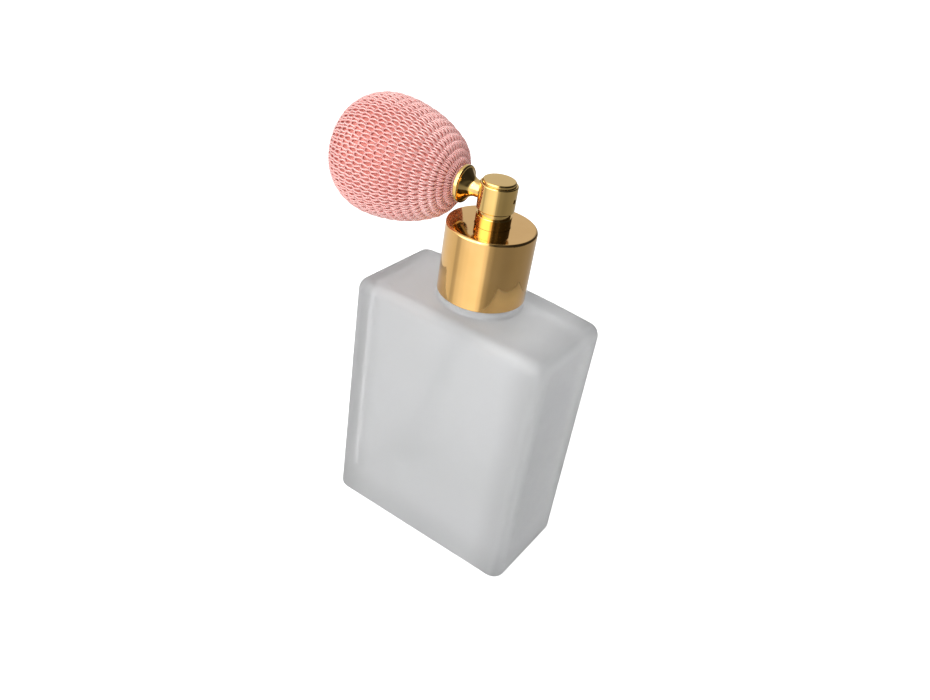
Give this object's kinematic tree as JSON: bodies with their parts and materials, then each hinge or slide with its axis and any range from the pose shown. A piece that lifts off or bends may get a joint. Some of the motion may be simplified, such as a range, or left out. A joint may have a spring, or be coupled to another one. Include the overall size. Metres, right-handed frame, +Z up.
{
  "type": "bulb perfume atomiser",
  "caption": "Bulb perfume atomiser with a flat frosted glass bottle, screw collar, swivelling spray head with side horn, and a squeeze bulb in a knitted net.",
  "frame": {"origin": "centre of the bottle's flat base", "axes": "+Z up; +X along the bottle's wide face; the wide front face looks towards -Y; the horn and bulb point 4 degrees in front of -X at rest"},
  "size_m": [0.064, 0.0285, 0.0996],
  "materials": {
    "frosted_glass": "frosted",
    "gold_aluminium": "polished gold anodised",
    "gold_brass": "polished gold plated",
    "brass_fitting": "machined",
    "steel": "satin",
    "white_plastic": "moulded",
    "dark_plastic": "moulded",
    "foam_gasket": "matte",
    "clear_tube": "translucent",
    "black_rubber": "satin",
    "bulb_rubber": "matte",
    "pink_net": "glossy knitted yarn"
  },
  "bodies": {
    "bottle": {"bottle": "frosted_glass"},
    "sprayer": {"neck_gasket": "foam_gasket", "inner_plug": "white_plastic", "dip_tube": "clear_tube", "liquid_tube": "steel", "post_sleeve": "gold_brass", "swivel_bearing": "gold_brass", "swivel_o_ring": "black_rubber"},
    "collar": {"collar_shell": "gold_aluminium", "threaded_liner": "white_plastic"},
    "head": {"head_shell": "gold_brass", "head_core": "dark_plastic", "head_cap": "gold_brass", "head_clip": "steel", "jet_elbow": "brass_fitting", "nozzle_insert": "brass_fitting", "horn": "gold_brass", "horn_nipple": "brass_fitting", "air_valve_seat": "white_plastic", "neck_clamp": "steel", "net_cover": "pink_net", "net_drawcord": "pink_net", "tail_valve_body": "brass_fitting", "tail_valve_keeper": "white_plastic"},
    "bulb": {"bulb_bladder": "bulb_rubber"},
    "air_ball": {"air_valve_ball": "steel"},
    "tail_ball": {"tail_valve_ball": "steel"}
  },
  "joints": [
    {"name": "sprayer_rise", "type": "slide", "parent": "bottle", "child": "sprayer", "axis": [0, 0, 1], "range_m": [0, 0.0037]},
    {"name": "collar_unscrew", "type": "hinge", "parent": "sprayer", "child": "collar", "pos_m": [0, 0, 0.072], "axis": [0, 0, 1], "range_deg": [0, 630]},
    {"name": "head_swivel", "type": "hinge", "parent": "sprayer", "child": "head", "pos_m": [0, 0, 0.0842], "axis": [0, 0, 1], "continuous": true},
    {"name": "bulb_squeeze", "type": "slide", "parent": "head", "child": "bulb", "axis": [0, 0, -1], "range_m": [0, 0.008], "stiffness_N_per_m": 300, "deforming": ["bulb_bladder"]},
    {"name": "air_valve_lift", "type": "slide", "parent": "head", "child": "air_ball", "axis": [0.9976, 0.0698, 0], "range_m": [0, 0.0005]},
    {"name": "tail_valve_close", "type": "slide", "parent": "head", "child": "tail_ball", "axis": [-0.9976, -0.0698, 0], "range_m": [0, 0.0005]}
  ],
  "couplings": [
    {"joint": "collar_unscrew", "follows": "sprayer_rise", "rad_per_m": 2968},
    {"joint": "air_valve_lift", "follows": "bulb_squeeze", "ratio": 0.0625},
    {"joint": "tail_valve_close", "follows": "bulb_squeeze", "ratio": 0.0625}
  ]
}
